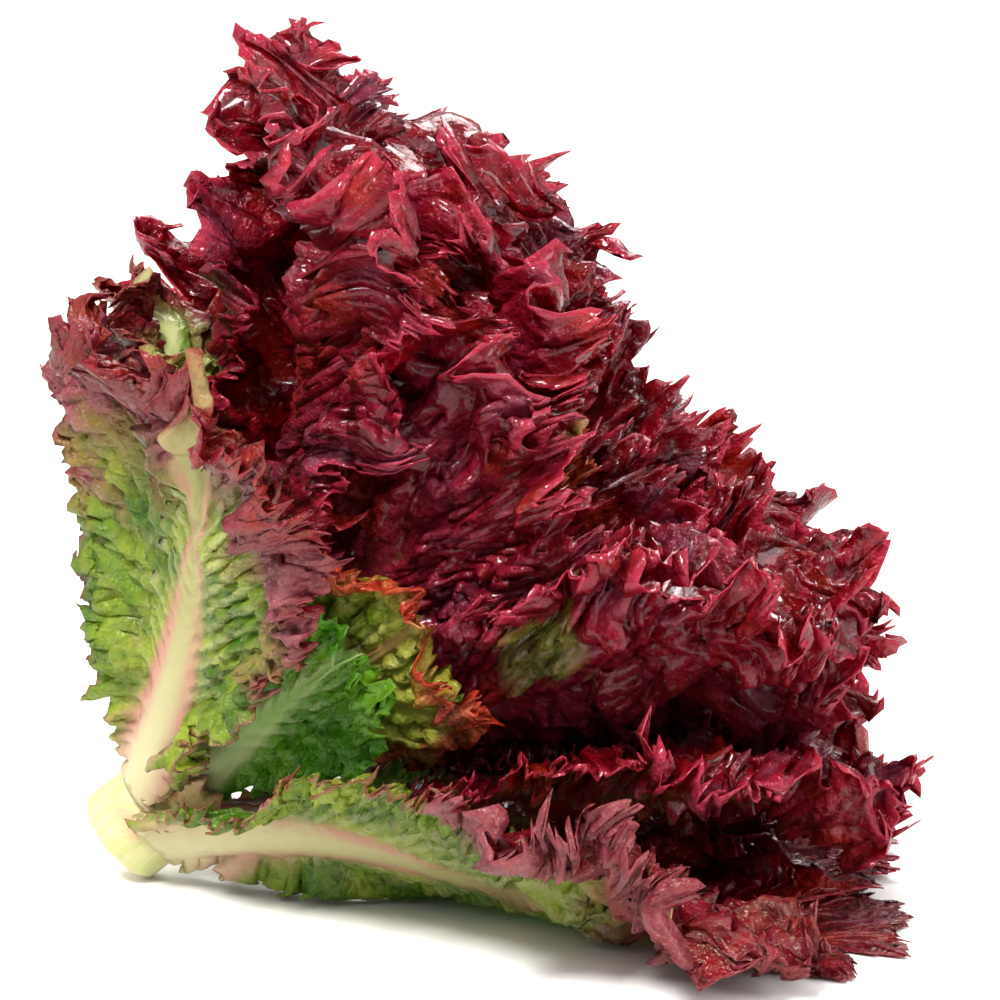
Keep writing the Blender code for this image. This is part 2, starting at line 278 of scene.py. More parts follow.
@dataclass
class Leaf:
    """One leaf: its outline, its folds and the room that they have."""

    head: Head
    place: int
    reach: float
    habit: Habit
    samples: int = 2400  # along one half of a folded line
    edge_samples: int = 1200  # along one half of the edge before it folds
    angle_outer: float = math.radians(43)  # half of what the blade takes of the way round the axis
    angle_heart: float = math.radians(50)
    stalk_outer: float = 0.0090  # half the midrib's width at its root
    stalk_heart: float = 0.0028
    rib_outer: float = 0.0036  # the midrib's thickness at its root
    rib_heart: float = 0.0012
    rib_top: float = 0.64  # share of the length where the midrib fades
    rib_spread: float = 0.75
    stalk_widens: float = 0.9
    wing: tuple[float, float] = (0.06, 0.46)  # shares of the length where the blade widens
    tip_from: float = 0.66  # share of the length where the blade narrows to its tip
    tip_length: float = 0.34
    tip_round: float = 2.4
    wave_length: float = 0.017  # of the first order of frills, along the edge
    fewest_waves: int = 6
    narrow: float = 0.003  # a blade narrower than this has no frills
    broad: float = 0.013  # and one broader than this has them in full
    column_pitch: float = 0.00040
    inner_coarser: float = 0.35
    coarsest: int = 8  # columns at the edge for each one at the midrib
    blade: float = 0.00050
    most_swing: float = 0.013
    least_advance: float = 0.30  # how little of a folded line's length may go along the leaf
    curl_out: float = 0.012  # how far the margin bends outwards
    curl_share: float = 0.6  # and the most of the free room that it takes
    roll_back: float = 0.45  # how much shorter the blade gets where it swings
    roll_soft: float = 0.004
    interlock: float = 2.2  # how far frills reach into the folds of the next leaf
    deepest_bay: float = 0.011
    longest_lobe: float = 0.0026
    longest_tooth: float = 0.0021
    cut_back: float = 0.0008  # how far the edge lies back between lobes, and between teeth
    vein_lean: float = 0.20
    vein_gap: float = 0.0125
    others: list["Leaf"] = field(default_factory=list)

    def __post_init__(self) -> None:
        """Draws the outline and the folds of the first order."""
        self.random = np.random.default_rng(100 + self.place)
        head, habit = self.head, self.habit
        share = self.place / (head.places - 1)
        self.azimuth = head.first_azimuth + self.place * head.spiral + math.radians(habit.aside)
        self.length = self.reach - float(head.root(self.place))
        self.blade_angle = between(self.angle_outer, self.angle_heart, share) * habit.width
        self.petiole = between(self.stalk_outer, self.stalk_heart, share) * habit.stalk
        self.rib = between(self.rib_outer, self.rib_heart, share) * habit.width
        self.draw_edge()
        self.waves = max(self.fewest_waves, round(2.0 * self.edge_length / self.wave_length))
        pitch = self.column_pitch * (1.0 + self.inner_coarser * share)
        self.columns = self.coarsest * round(2.0 * self.edge_length / pitch / self.coarsest)
        self.phase = self.random.uniform(0.0, 2.0 * math.pi)
        self.drift = self.draw_waves(0.5, 3)
        self.later = [self.draw_waves(0.9, 9) for _ in FRILLS]

    def draw_waves(self, most: float, count: int) -> list[tuple[float, float]]:
        """Draws the sizes, up to the most, and the starts of a number of waves."""
        return [(self.random.uniform(-most, most), self.random.uniform(0.0, 6.28)) for _ in range(count)]

    def out(self, share_up: Numbers) -> Array:
        """Distance of the leaf's midline from the head's axis."""
        return self.head.parts(self.place, self.azimuth, share_up * self.length)[1]

    def draw_edge(self) -> None:
        """Draws one side's edge from tip to root, as half-angles and shares of the length."""
        up = np.linspace(1.0, 0.0, self.edge_samples)
        petiole = self.petiole / self.out(up) * (1.0 + self.stalk_widens * smooth_step(0.0, 0.3, up))
        wing = smooth_step(*self.wing, up)
        top = np.sqrt(1.0 - np.clip((up - self.tip_from) / self.tip_length, 0.0, 1.0) ** self.tip_round)
        half = np.minimum(np.maximum(petiole, self.blade_angle * wing), self.blade_angle) * top
        self.half_by_height = half[::-1]
        across = np.diff(half) * self.out(up[1:])
        steps = np.hypot(across, np.diff(up) * self.length)
        run = np.concatenate([[0.0], np.cumsum(steps)])
        self.edge_length = float(run[-1])
        even = np.linspace(0.0, run[-1], self.edge_samples)
        self.edge_half = np.interp(even, run, half)
        self.edge_up = np.interp(even, run, up)

    def on_sheet(self, side: Array, rows: Array) -> tuple[Array, Array]:
        """Finds places on the leaf as if it lay flat on its shell.

        Args:
            side: From -1 at the root through 0 at the tip to 1 at the root again.
            rows: From 0 at the midrib to 1 at the edge.

        Returns:
            Angles from the midrib and heights.
        """
        steps = np.linspace(0.0, 1.0, self.edge_samples)
        half = np.interp(np.abs(side), steps, self.edge_half)
        edge_up = np.interp(np.abs(side), steps, self.edge_up)
        rib_up = np.minimum(self.rib_top * (1.0 - np.abs(side)) ** self.rib_spread, edge_up)
        up = rib_up + (edge_up - rib_up) * rows**1.15
        return np.sign(side) * half * rows, up * self.length

    def breadth(self, side: Array) -> Array:
        """Distance from the midrib to the edge along each column."""
        level = np.full_like(side, float(self.place))
        ends = []
        for row in (0.0, 1.0):
            angle, height = self.on_sheet(side, np.full_like(side, row))
            ends.append(self.head.point(level, self.azimuth + angle, height))
        return np.linalg.norm(ends[1] - ends[0], axis=1)

    def swing(self, row: float, side: Array) -> Array:
        """How far a row's line swings from its own direction, in radians, from all orders of folds."""
        free = smooth_step(self.narrow, self.broad, self.breadth(side))
        drift = sum(
            size * np.sin((order + 1) * math.pi * side + at) for order, (size, at) in enumerate(self.drift)
        )
        base = math.pi * self.waves * side + self.phase + drift
        slow = 0.35 * np.sin(5.3 * math.pi * side + self.phase)
        quick = 0.25 * np.sin(13.1 * math.pi * side + 2.0 * self.phase)
        first = FRILLS[0]
        total = first.turn * (0.75 + slow + quick) * smooth_step(first.begins, first.whole, row)
        total = total * free * np.sin(base)
        for frill, draws in zip(FRILLS[1:], self.later[1:]):
            lag = sum(
                size * np.sin((order + 2) * 2.1 * math.pi * side + at)
                for order, (size, at) in enumerate(draws)
            )
            size = 0.78 + 0.22 * np.sin(1.7 * lag)
            strength = smooth_step(frill.begins, frill.whole, row) * free
            total = total + frill.turn * strength * size * np.sin(frill.repeats * base + 1.1 * lag)
        return total

    def row_line(self, row: float) -> tuple[Array, Array, Array]:
        """Follows one row's folded line.

        Args:
            row: From 0 at the midrib to 1 at the edge.

        Returns:
            Even sides, the sides that they move to, and how far they leave the shell.
        """
        side = np.linspace(-1.0, 1.0, 2 * self.samples + 1)
        angle, height = self.on_sheet(side, np.full_like(side, row))
        line = self.head.point(np.full_like(side, float(self.place)), self.azimuth + angle, height)
        length = float(np.linalg.norm(np.diff(line, axis=0), axis=1).sum())
        theta = self.swing(row, side)
        window = max(3, round(len(side) / self.waves))
        mean = np.maximum(moving_mean(np.cos(theta), window), self.least_advance)
        step = side[1] - side[0]
        moved = side[0] + np.cumsum(np.cos(theta) / mean) * step
        off = np.cumsum(np.sin(theta) / mean) * step * length / 2.0
        moved = side + (moved - side) - moving_mean(moved - side, window)
        return side, moved, off - moving_mean(off, window)

    def swept(self, height: Array) -> Array:
        """How much further round the axis the leaf lies at a height, because its stalk starts aside."""
        return math.radians(self.habit.sweep) * (1.0 - smooth_step(0.0, 0.75, height / self.length))

    def cover(self, azimuth: Array, from_cut: Array) -> Array:
        """How fully this leaf's blade covers places in the head: 1 on it, 0 well beyond its edge."""
        up = (from_cut - float(self.head.root(self.place))) / self.length
        centre = self.azimuth + self.swept(np.clip(up, 0.0, 1.0) * self.length)
        turned = np.abs((azimuth - centre + math.pi) % (2.0 * math.pi) - math.pi)
        half = np.interp(up, np.linspace(0.0, 1.0, self.edge_samples), self.half_by_height)
        beyond = np.maximum((turned - half) * self.out(np.clip(up, 0.05, 1.0)), (up - 1.0) * self.length)
        return 1.0 - smooth_step(0.007, 0.020, beyond)

    def room(self, azimuth: Array, height: Array, gap: Array) -> tuple[Array, Array]:
        """The levels that folds may take, inwards and outwards, before they meet other leaves.

        Args:
            azimuth: Round the head's axis.
            height: From this leaf's root.
            gap: Distance from one level to the next.

        Returns:
            Levels free inwards and outwards.
        """
        most = self.most_swing / gap
        inwards, outwards = np.array(most), np.array(most)
        from_cut = height + float(self.head.root(self.place))
        for other in self.others:
            limit = 0.5 * abs(other.place - self.place) + most * (1.0 - other.cover(azimuth, from_cut))
            if other.place > self.place:
                inwards = np.minimum(inwards, limit)
            elif other.place < self.place:
                outwards = np.minimum(outwards, limit)
        spare = 0.9 * self.blade / gap + 0.05
        return np.maximum(inwards - spare, 0.1), np.maximum(outwards - spare, 0.1)

    def outline(
        self, pitches: tuple[int, int], depth: tuple[float, float], most: float, spacing: Array, sharp: float
    ) -> Array:
        """Draws uneven points along the edge, with round bays between them.

        Args:
            pitches: Fewest and most columns from one point to the next.
            depth: Least and most length of a point, as a share of the distance to the next one.
            most: The longest that a point may be.
            spacing: Distance from each column to the next along the folded edge.
            sharp: How thin the points are.

        Returns:
            The length of the points at every column, from 0 in a bay.
        """
        length = np.zeros(self.columns + 1)
        at = 0
        while at < self.columns:
            pitch = int(self.random.integers(*pitches))
            share = np.abs(2.0 * np.arange(min(pitch + 1, self.columns + 1 - at)) / pitch - 1.0)
            apart = pitch * float(spacing[at : at + pitch + 1].min())
            size = min(self.random.uniform(*depth) * apart, most)
            length[at : at + len(share)] = np.maximum(length[at : at + len(share)], size * share**sharp)
            at += pitch
        return length

    def edge_spacing(self) -> Array:
        """Distance from each column to the next along the folded edge, evened out."""
        side = np.linspace(-1.0, 1.0, self.columns + 1)
        edge = self.lay(side, np.ones_like(side), np.zeros_like(side))["point"]
        steps = np.linalg.norm(np.diff(edge, axis=0), axis=1)
        return moving_mean(np.append(steps, steps[-1]), 5)

    def places(self, side: Array, rows: Array) -> Spots:
        """Puts the leaf's inner face in the head, with its lobes and teeth.

        Args:
            side: One value for each vertex.
            rows: One value for each vertex.

        Returns:
            Arrays for each vertex, as from lay.
        """
        spacing = self.edge_spacing()
        bays = -self.outline((45, 80), (0.06, 0.16), self.deepest_bay, spacing, 4.0)
        # a lobe is 10 to 20 columns broad and a tooth 4 to 7, which is about 4 to 8 mm and 2 to 3 mm
        lobes = self.outline((10, 20), (0.10, 0.24), self.longest_lobe, spacing, 1.5) - self.cut_back
        teeth = self.outline((4, 7), (0.25, 0.50), self.longest_tooth, spacing, 1.3) - self.cut_back
        column = np.round((side + 1.0) / 2.0 * self.columns).astype(int)
        longer = bays[column] * smooth_step(0.30, 1.0, rows)
        longer = longer + lobes[column] * smooth_step(0.72, 1.0, rows)
        longer = longer + teeth[column] * smooth_step(0.88, 1.0, rows)
        return self.lay(side, rows, longer)

    def lay(self, side: Array, rows: Array, longer: Array) -> Spots:
        """Folds the leaf and puts it on its shell.

        Args:
            side: One value for each vertex.
            rows: One value for each vertex.
            longer: How much further from the midrib each vertex lies than its row.

        Returns:
            Arrays for each vertex: its point, angle, height, moved side and row.
        """
        moved, off = np.array(side), np.zeros_like(side)
        for row in np.unique(rows):
            if row <= 0.0:
                continue
            here = rows == row
            steps, to, away = self.row_line(float(row))
            moved[here] = np.interp(side[here], steps, to)
            off[here] = np.interp(side[here], steps, away)
        moved = np.clip(moved, -1.0, 1.0)
        breadth = self.breadth(moved)
        longer = longer * smooth_step(self.narrow, self.broad, breadth) / breadth
        angle, height = self.on_sheet(moved, rows + longer)
        off = off + self.puckered(moved, rows, breadth) * smooth_step(1.2, 2.2, self.across(angle, height))
        azimuth = self.azimuth + angle + self.swept(height)
        level = np.full_like(side, float(self.place))
        gap = self.head.gap(level, azimuth, height)
        inwards, outwards = self.room(azimuth, height, gap)
        loose = 1.0 + (self.interlock - 1.0) * smooth_step(0.5, 0.9, rows)
        inwards, outwards = inwards * loose, outwards * loose
        free = smooth_step(0.004, 0.011, outwards * gap)
        curl = np.minimum(self.curl_out, self.curl_share * outwards * gap)
        off = off - curl * smooth_step(0.45, 1.0, rows) * free * smooth_step(0.005, 0.024, breadth)
        room = np.where(off > 0.0, inwards, outwards)
        away = room * np.tanh(off / (gap * room))
        swung = np.abs(away * gap)
        rolled = self.roll_back * smooth_step(0.6, 1.0, rows) * swung * swung / (swung + self.roll_soft)
        height = height - rolled
        level, azimuth, height = self.head.crumple(level + away, azimuth, height)
        point = self.head.settle(self.head.point(level, azimuth, height), self.place)
        return {"point": point, "angle": angle, "height": height, "moved": moved, "rows": rows}

    def across(self, angle: Array, height: Array) -> Array:
        """Distance from the midrib's middle, in half widths of the midrib."""
        up = np.clip(height / self.length, 0.0, 1.0)
        width = between(self.petiole, 0.22 * self.petiole, smooth_step(0.0, 0.75, up))
        return np.abs(angle) * self.out(up) / width

    def vein_run(self, side: Array, rows: Array) -> Array:
        """Counts the side veins from the tip, which lean towards it from the midrib to the edge."""
        return (np.abs(side) + self.vein_lean * rows) * self.edge_length / self.vein_gap + 0.25

    def puckered(self, side: Array, rows: Array, breadth: Array) -> Array:
        """How far the blade bulges between its side veins and in the cells between smaller ones."""
        across = side * self.edge_length * math.tau
        along = rows * breadth * math.tau
        bulge = 0.0010 * np.sin(math.tau * self.vein_run(side, rows))
        # cells about 8 mm long and 7 mm broad, with smaller ones of 5 mm on them
        bulge += 0.0012 * np.sin(along / 0.0082 + 1.8 * np.sin(across / 0.0150 + 2.0 * self.phase))
        bulge += 0.0010 * np.sin(across / 0.0074 + 1.5 * np.sin(along / 0.0120 + self.phase))
        bulge += 0.0006 * np.sin(across / 0.0050 + along / 0.0055)
        # creases 3.4 mm apart that run out to the edge
        wander = 2.2 * np.sin(along / 0.0090 + 3.0 * self.phase)
        bulge += 0.0007 * smooth_step(0.4, 0.8, rows) * np.sin(across / 0.0034 + wander)
        return bulge * smooth_step(0.06, 0.40, rows) * smooth_step(0.003, 0.012, breadth)

    def thickness(self, spots: Spots) -> Array:
        """The leaf's thickness at every vertex: a rib, side veins and a blade that thins to its edge."""
        up = spots["height"] / self.length
        rib = between(self.rib, self.blade, smooth_step(-0.1, self.rib_top, up))
        width = between(self.petiole, 0.25 * self.petiole, smooth_step(0.0, 0.7, up))
        across = np.abs(spots["angle"]) * self.out(up) / width
        bulge = np.clip(1.0 - across * across, 0.0, 1.0)
        vein = 0.9 * MM * self.vein(spots) * (1.0 - smooth_step(0.1, 0.75, spots["rows"]))
        edge = between(self.blade, 0.6 * self.blade, smooth_step(0.8, 1.0, spots["rows"]))
        return np.maximum(between(edge, rib, bulge), edge + vein)

    def vein(self, spots: Spots) -> Array:
        """1 on a side vein and 0 between veins, which lean from the midrib towards the tip."""
        along = self.vein_run(spots["moved"], spots["rows"])
        apart = np.abs(along - np.round(along)) * self.vein_gap
        width = between(0.0030, 0.0008, smooth_step(0.0, 0.8, spots["rows"]))
        return np.exp(-((apart / width) ** 2))


class LeafMesh:
    """Builds the mesh of one leaf, fine at its edge and coarse at its midrib."""

    rows = (
        *(0.0, 0.05, 0.10, 0.16, 0.22, 0.26, 0.30, 0.34, 0.38, 0.42, 0.46, 0.50, 0.54, 0.58),
        *(0.62, 0.655, 0.69, 0.725, 0.76, 0.795, 0.83, 0.865, 0.90, 0.935, 0.97, 1.0),
    )
    finer = (0.16, 0.54, 0.83)  # rows from which the columns are twice as many
    green_heart = (0.0045, -0.040, 0.068)  # the middle of the opening, where frills are still yellow-green
    heart_depth = 0.45  # how much less a distance from front to back counts there
    heart_size = (0.019, 0.006)  # how far from there the green begins and is whole
    reds = {  # shares of the head's reach where red begins and is whole, and the row of the red edge
        Tone.OUTER: (0.54, 0.78, 1.00),
        Tone.PALE: (0.52, 0.72, 0.97),
        Tone.GREEN: (1.10, 1.40, 1.04),
        Tone.RED: (0.30, 0.52, 0.94),
        Tone.HEART: (0.50, 0.78, 0.90),
    }

    def __init__(self, leaf: Leaf, name: str) -> None:
        """Keeps the leaf and the name of its piece."""
        self.leaf = leaf
        self.name = name

    def grid(self) -> bmesh.types.BMesh:
        """A grid whose X is the side and whose Y is the row's number, with more columns near the edge."""
        mesh = bmesh.new()
        count = len(self.rows) - 1
        across = self.leaf.columns // self.leaf.coarsest
        bmesh.ops.create_grid(mesh, x_segments=across, y_segments=count, size=1.0)
        for start in self.finer:
            first = self.rows.index(start)
            finer = []
            for edge in mesh.edges:
                row = [round((corner.co.y + 1.0) / 2.0 * count) for corner in edge.verts]
                if row[0] == row[1] and row[0] >= first:
                    finer.append(edge)
            bmesh.ops.subdivide_edges(mesh, edges=finer, cuts=1, use_grid_fill=True)
        return mesh

    def build(self) -> bpy.types.Object:
        """Builds the leaf as a closed sheet.

        Returns:
            The leaf's object, with attributes for its colours.
        """
        mesh = self.grid()
        flat = np.array([corner.co for corner in mesh.verts])
        count = len(self.rows) - 1
        number = np.round((flat[:, 1] + 1.0) / 2.0 * count).astype(int)
        spots = self.leaf.places(flat[:, 0], np.array(self.rows)[number])
        for corner, point in zip(mesh.verts, spots["point"]):
            corner.co = point
        values = self.paint(spots)
        values["thick"] = self.leaf.thickness(spots)
        for name, numbers in values.items():
            layer = mesh.verts.layers.float.new(name)
            for corner, number_here in zip(mesh.verts, numbers):
                corner[layer] = float(number_here)
        ridge = [corner for corner, row in zip(mesh.verts, number) if row == 0]
        bmesh.ops.remove_doubles(mesh, verts=ridge, dist=0.00002)
        bmesh.ops.triangulate(mesh, faces=mesh.faces)
        self.face_outwards(mesh)
        return self.thicken(mesh)

    def face_outwards(self, mesh: bmesh.types.BMesh) -> None:
        """Turns the sheet's faces away from the head's axis."""
        mesh.normal_update()
        _, up, front = self.leaf.head.directions()
        out = np.cos(self.leaf.azimuth) * up + np.sin(self.leaf.azimuth) * front
        facing = sum(float(np.dot(face.normal, out)) * face.calc_area() for face in mesh.faces)
        if facing < 0.0:
            bmesh.ops.reverse_faces(mesh, faces=mesh.faces)

    def thicken(self, mesh: bmesh.types.BMesh) -> bpy.types.Object:
        """Gives the sheet its outer face, a vertex's own thickness away, and closes its edge.

        Args:
            mesh: The inner face, with its normals outwards.

        Returns:
            The leaf's object.
        """
        thick = mesh.verts.layers.float["thick"]
        outer_face = mesh.verts.layers.float.new("outer")
        copied = bmesh.ops.duplicate(mesh, geom=list(mesh.verts) + list(mesh.edges) + list(mesh.faces))
        inner = set(mesh.faces) - {part for part in copied["geom"] if isinstance(part, bmesh.types.BMFace)}
        mesh.normal_update()
        for part in copied["geom"]:
            if isinstance(part, bmesh.types.BMVert):
                part[outer_face] = 1.0
                part.co += part.normal * part[thick]
                part.co.z = max(part.co.z, 0.0)
        bmesh.ops.reverse_faces(mesh, faces=list(inner))
        rims = [edge for edge in mesh.edges if edge.is_boundary]
        bmesh.ops.bridge_loops(mesh, edges=rims)
        bmesh.ops.triangulate(mesh, faces=[face for face in mesh.faces if len(face.verts) > 3])
        return new_piece(mesh, self.name)

    def paint(self, spots: Spots) -> Spots:
        """Works out where the leaf is red, where it is pale and where veins show.

        Args:
            spots: The leaf's places, as from Leaf.places.

        Returns:
            Values from 0 to 1 for each vertex, by the attribute's name.
        """
        leaf = self.leaf
        rows = spots["rows"]
        up = spots["height"] / leaf.length
        from_cut = (spots["height"] + float(leaf.head.root(leaf.place))) / leaf.head.reach
        ripple = 0.035 * np.sin(23.0 * spots["moved"] + leaf.phase) + 0.02 * np.sin(61.0 * spots["moved"])
        starts, ends, edge = self.reds[leaf.habit.tone]
        spread = from_cut + leaf.habit.redder + 0.16 * (rows - 0.5) + ripple
        red = np.maximum(smooth_step(starts, ends, spread), smooth_step(edge - 0.06, edge + 0.05, rows))
        from_heart = (spots["point"] - np.array(self.green_heart)) * np.array([1.0, self.heart_depth, 1.0])
        heart = np.linalg.norm(from_heart, axis=1)
        young = smooth_step(*self.heart_size, heart + 0.10 * ripple)
        young = young * (1.0 - 0.7 * smooth_step(0.84, 0.97, rows))
        red = red * (1.0 - 0.72 * young)
        across = leaf.across(spots["angle"], spots["height"])
        rib = 1.0 - smooth_step(0.70, 1.20, across)
        far = (0.42, 0.62) if leaf.habit.tone is Tone.RED else (0.55, 0.95)
        rib = rib * (1.0 - smooth_step(*far, from_cut))
        flush = smooth_step(0.15, 0.8, across) * smooth_step(0.04, 0.16, from_cut)
        flush = flush * (1.0 - smooth_step(0.5, 0.75, from_cut))
        vein = leaf.vein(spots) * (1.0 - smooth_step(0.30, 0.85, rows)) * (1.0 - rib)
        return {"red": red, "rib": rib, "vein": vein, "up": up, "row": rows, "flush": flush}


def srgb(code: str) -> tuple[float, float, float, float]:
    """A linear colour from an sRGB hex value."""
    parts = [int(code[i : i + 2], 16) / 255.0 for i in (1, 3, 5)]
    linear = [v / 12.92 if v <= 0.04045 else ((v + 0.055) / 1.055) ** 2.4 for v in parts]
    return (*linear, 1.0)


def add_node(
    tree: Tree, kind: str, settings: dict | None = None, links: dict | None = None
) -> bpy.types.Node:
    """Adds one node.

    Args:
        tree: The material's nodes.
        kind: The node's type.
        settings: Values by the name of a property or an input.
        links: Output sockets by the name or number of the input that they go to.

    Returns:
        The node.
    """
    node = tree.nodes.new(kind)
    for name, value in (settings or {}).items():
        if hasattr(node, str(name)) and not isinstance(name, int):
            setattr(node, name, value)
        else:
            node.inputs[name].default_value = value
    for name, socket in (links or {}).items():
        tree.links.new(socket, node.inputs[name])
    return node


def attribute(tree: Tree, name: str, output: str = "Fac") -> Socket:
    """One of the mesh's own attributes."""
    return add_node(tree, "ShaderNodeAttribute", {"attribute_name": name}).outputs[output]


def noise(tree: Tree, place: Socket, size: float, detail: float) -> Socket:
    """An uneven value from 0 to 1 whose patches have a size in metres."""
    settings = {"Scale": 1.0 / size, "Detail": detail, "Roughness": 0.6}
    return add_node(tree, "ShaderNodeTexNoise", settings, {"Vector": place}).outputs["Fac"]


def ranged(
    tree: Tree, value: Socket, low: float, high: float, start: float = 0.0, end: float = 1.0
) -> Socket:
    """A value from start to end, by where the input lies between low and high."""
    settings = {"From Min": low, "From Max": high, "To Min": start, "To Max": end}
    return add_node(tree, "ShaderNodeMapRange", settings, {"Value": value}).outputs["Result"]


def swung(tree: Tree, value: Socket, size: float) -> Socket:
    """A noise that swings by size about none."""
    return ranged(tree, value, 0.2, 0.8, -size, size)


def summed(tree: Tree, first: Socket, second: Socket) -> Socket:
    """The sum of two values."""
    return add_node(tree, "ShaderNodeMath", {"operation": "ADD"}, {0: first, 1: second}).outputs[0]


def times(
    tree: Tree, value: Socket, factor: float, other: Socket | None = None
) -> Socket:
    """A value times a factor, and times another value if there is one."""
    scaled = add_node(tree, "ShaderNodeMath", {"operation": "MULTIPLY", 1: factor}, {0: value}).outputs[0]
    if other is None:
        return scaled
    return add_node(tree, "ShaderNodeMath", {"operation": "MULTIPLY"}, {0: scaled, 1: other}).outputs[0]


def raised(tree: Tree, height: Socket, strength: float, depth: float) -> Socket:
    """The normals of a surface that is raised by a value, by at most a depth."""
    settings = {"Strength": strength, "Distance": depth}
    return add_node(tree, "ShaderNodeBump", settings, {"Height": height}).outputs["Normal"]


def mixed(tree: Tree, share: Socket, first: Colour, second: Colour) -> Socket:
    """Mixes two colours, each an sRGB hex value or a socket, by a share."""
    mixer = add_node(tree, "ShaderNodeMix", {"data_type": "RGBA"}, {0: share})
    for slot, colour in ((6, first), (7, second)):
        if isinstance(colour, str):
            mixer.inputs[slot].default_value = srgb(colour)
        else:
            tree.links.new(colour, mixer.inputs[slot])
    return mixer.outputs[2]


@dataclass(frozen=True)
class LeafFinish:
    """Fresh lettuce leaf, rinsed and drained: a waxy skin with a gloss, thin enough to let light through."""

    name: str
    blade: str  # the green of the blade where no red has come
    blade_light: str
    face: str  # the red of the upper side
    face_light: str
    back: str  # the paler, duller red of the lower side
    back_light: str
    back_far: str  # and its deeper red towards the tip
    painted_rim_glow: str  # a painted glow along the thin edge, where light comes through
    rib: str  # the midrib at its root
    rib_far: str  # and towards the tip
    flush: str  # the pink along its sides
    vein_red: str  # side veins where the blade is red
    glow_green: str
    glow_red: str
    warm: str = "#8E2410"  # patches where the red is thin and the green below turns it to orange
    mauve: str = "#6E3044"  # patches partly of the skin's own mauve and partly a painted sheen of its thick wax
    shine: str = "#F2F4C8"  # what the skin does to the light that it mirrors
    coat: float = 0.12
    pucker: float = 3.6 * MM  # size of the raised cells between small veins

    def material(self) -> bpy.types.Material:
        """Builds the finish, which reads the leaf's own attributes."""
        made = bpy.data.materials.new(self.name)
        made.use_nodes = True
        tree = made.node_tree
        tree.nodes.clear()
        place = add_node(tree, "ShaderNodeTexCoord").outputs["Object"]
        names = ("red", "rib", "vein", "up", "row", "outer", "flush")
        marks = {name: attribute(tree, name) for name in names}
        patches = noise(tree, place, 18.0 * MM, 4.0)
        mottle = noise(tree, place, 6.0 * MM, 5.0)
        fine = noise(tree, place, 1.6 * MM, 4.0)
        kind = {"feature": "SMOOTH_F1", "Scale": 1.0 / self.pucker, "Smoothness": 0.6}
        cells = add_node(tree, "ShaderNodeTexVoronoi", kind, {"Vector": place}).outputs["Distance"]

        green = mixed(tree, ranged(tree, patches, 0.40, 0.62), self.blade, self.blade_light)
        face = mixed(tree, ranged(tree, mottle, 0.38, 0.68), self.face, self.face_light)
        back = mixed(tree, ranged(tree, mottle, 0.36, 0.70), self.back, self.back_light)
        back = mixed(tree, times(tree, ranged(tree, marks["up"], 0.70, 0.96), 0.70), back, self.back_far)
        red = mixed(tree, marks["outer"], face, back)
        broad = noise(tree, place, 26.0 * MM, 3.0)
        red = mixed(tree, times(tree, ranged(tree, broad, 0.54, 0.66), 0.65), red, self.warm)
        # mauve patches: partly the skin's own mauve, partly a painted sheen of its wax
        red = mixed(tree, times(tree, ranged(tree, broad, 0.46, 0.36), 0.55), red, self.mauve)
        blotched = summed(tree, swung(tree, mottle, 0.26), swung(tree, fine, 0.10))
        spread = summed(tree, times(tree, marks["red"], 1.35), blotched)
        spread = add_node(tree, "ShaderNodeClamp", {}, {0: spread}).outputs[0]
        blade = mixed(tree, spread, green, red)
        vein = mixed(tree, spread, self.rib, self.vein_red)
        blade = mixed(tree, times(tree, marks["vein"], 0.45), blade, vein)
        blade = mixed(tree, times(tree, ranged(tree, cells, 0.55, 0.95), 0.08), blade, vein)
        rib = mixed(tree, ranged(tree, marks["up"], 0.10, 0.45), self.rib, self.rib_far)
        flushed = times(tree, marks["flush"], 1.0, ranged(tree, patches, 0.30, 0.60))
        rib = mixed(tree, flushed, rib, self.flush)
        blade = mixed(tree, marks["rib"], blade, rib)
        # painted glow: the red edges are lightened towards the rim colour, as if light came through the thin
        # blade
        edge = times(tree, ranged(tree, marks["row"], 0.965, 0.998), 0.45, marks["red"])
        colour = mixed(tree, edge, blade, self.painted_rim_glow)

        wrinkles = noise(tree, place, 2.6 * MM, 2.0)
        grain = summed(tree, swung(tree, wrinkles, 0.32), swung(tree, fine, 0.03))
        height = summed(tree, times(tree, cells, -0.8), grain)
        height = times(tree, height, 1.0, ranged(tree, marks["rib"], 1.0, 0.0, 0.12, 1.0))
        bump = raised(tree, height, 1.0, 1.5 * MM)
        duller = summed(tree, times(tree, marks["outer"], 0.10), ranged(tree, fine, 0.2, 0.8, 0.16, 0.36))
        skin = add_node(
            tree,
            "ShaderNodeBsdfPrincipled",
            {
                "IOR": 1.45,
                "Specular IOR Level": 0.5,
                "Specular Tint": srgb(self.shine),
                "Coat Weight": self.coat,
                "Coat Roughness": 0.08,
            },
            {"Base Color": colour, "Roughness": duller, "Normal": bump},
        )
        light = mixed(tree, spread, self.glow_green, self.glow_red)
        light = mixed(tree, marks["rib"], light, rib)
        glow = add_node(tree, "ShaderNodeBsdfTranslucent", {}, {"Color": light, "Normal": bump})
        through = add_node(tree, "ShaderNodeMixShader", {0: 0.30}, {1: skin.outputs[0], 2: glow.outputs[0]})
        add_node(tree, "ShaderNodeOutputMaterial", {}, {"Surface": through.outputs[0]})
        return made


